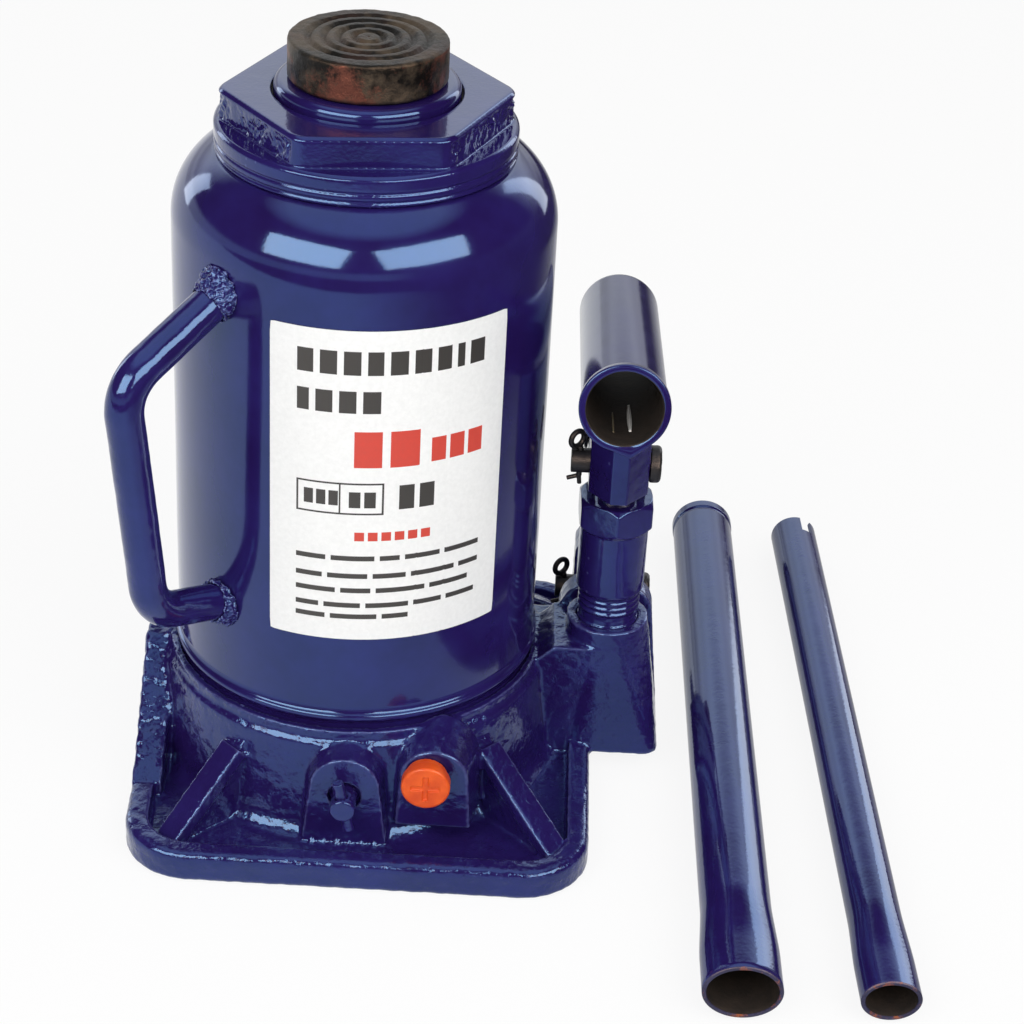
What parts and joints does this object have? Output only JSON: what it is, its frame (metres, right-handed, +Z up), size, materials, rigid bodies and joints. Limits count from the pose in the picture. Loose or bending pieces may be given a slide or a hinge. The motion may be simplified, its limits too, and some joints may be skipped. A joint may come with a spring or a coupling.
{
  "type": "hydraulic bottle jack",
  "caption": "Hydraulic bottle jack with carry handle, extension screw and saddle, lever pump with linked handle socket, release valve, and a pair of loose handle tubes",
  "frame": {"origin": "on the floor, on the vertical axis of the tank and ram", "axes": "+Z up along the ram, +X from the tank to the pump, +Y from the release valve side to the back"},
  "size_m": [0.2453, 0.2643, 0.2454],
  "materials": {
    "blue_enamel": "gloss enamel over steel",
    "blue_enamel_cast": "thick gloss enamel over a rough casting",
    "saddle_steel": "dark oiled steel with rust bloom",
    "machined_steel": "turned and ground",
    "black_steel": "blackened steel",
    "ball_steel": "polished",
    "seal_rubber": "matt nitrile",
    "washer_copper": "soft annealed",
    "orange_plastic": "moulded",
    "label_vinyl": "printed film on the tank, plain bars only"
  },
  "bodies": {
    "root": {"base_casting": "blue_enamel_cast", "tank_foot_gasket": "seal_rubber", "reservoir_tank": "blue_enamel", "filler_plug": "seal_rubber", "cylinder_washer": "washer_copper", "pressure_cylinder": "machined_steel", "top_nut": "blue_enamel", "ram_wiper": "seal_rubber", "pump_washer": "washer_copper", "pump_barrel": "blue_enamel", "pump_gland": "seal_rubber", "link_foot_pin": "black_steel", "link_foot_cotter": "black_steel", "release_ball": "ball_steel", "safety_cap": "orange_plastic", "safety_screw": "machined_steel", "safety_spring": "machined_steel", "safety_ball": "ball_steel", "carry_handle": "blue_enamel", "carry_handle_welds": "blue_enamel"},
    "lifting_ram": {"ram": "blue_enamel", "ram_piston": "machined_steel", "piston_seal": "seal_rubber"},
    "screw_stop_ring": {"screw_stop": "machined_steel"},
    "screw_and_saddle": {"extension_screw": "machined_steel", "saddle": "saddle_steel"},
    "plunger": {"pump_plunger": "machined_steel", "plunger_seal": "seal_rubber"},
    "socket": {"socket_tube": "blue_enamel", "socket_bracket": "blue_enamel", "plunger_pin": "black_steel", "plunger_cotter": "black_steel", "link_top_rivet": "black_steel"},
    "links": {"link_plates": "blue_enamel"},
    "release": {"release_valve": "blue_enamel", "release_cross_pin": "blue_enamel"},
    "thick_tube": {"handle_tube_thick": "blue_enamel"},
    "thin_tube": {"handle_tube_thin": "blue_enamel"}
  },
  "joints": [
    {"name": "ram_lift", "type": "slide", "parent": "root", "child": "lifting_ram", "axis": [0, 0, 1], "range_m": [0, 0.15]},
    {"name": "screw_rise", "type": "slide", "parent": "lifting_ram", "child": "screw_stop_ring", "axis": [0, 0, 1], "range_m": [0, 0.06]},
    {"name": "screw_turn", "type": "hinge", "parent": "screw_stop_ring", "child": "screw_and_saddle", "pos_m": [0, 0, 0.2333], "axis": [0, 0, 1], "range_deg": [0, 3600]},
    {"name": "plunger_stroke", "type": "slide", "parent": "root", "child": "plunger", "axis": [0, 0, 1], "range_m": [0, 0.0172]},
    {"name": "socket_pump", "type": "hinge", "parent": "plunger", "child": "socket", "pos_m": [0.082, 0, 0.109], "axis": [-1, 0, 0], "range_deg": [0, 40]},
    {"name": "link_swing", "type": "hinge", "parent": "root", "child": "links", "pos_m": [0.082, 0.032, 0.0415], "axis": [1, 0, 0], "range_deg": [0, 8.4]},
    {"name": "release_turn", "type": "hinge", "parent": "root", "child": "release", "pos_m": [0.002, -0.069, 0.0235], "axis": [0, -1, 0], "range_deg": [0, 360]},
    {"name": "thick_tube_lift", "type": "slide", "parent": "root", "child": "thick_tube", "axis": [0, 0, 1], "range_m": [0, 0.1]},
    {"name": "thin_tube_lift", "type": "slide", "parent": "root", "child": "thin_tube", "axis": [0, 0, 1], "range_m": [0, 0.1]}
  ],
  "couplings": [
    {"joint": "screw_rise", "follows": "screw_turn", "m_per_rad": 0.0009549},
    {"joint": "plunger_stroke", "follows": "socket_pump", "m_per_rad": 0.02442},
    {"joint": "link_swing", "follows": "socket_pump", "ratio": 0.2053}
  ]
}
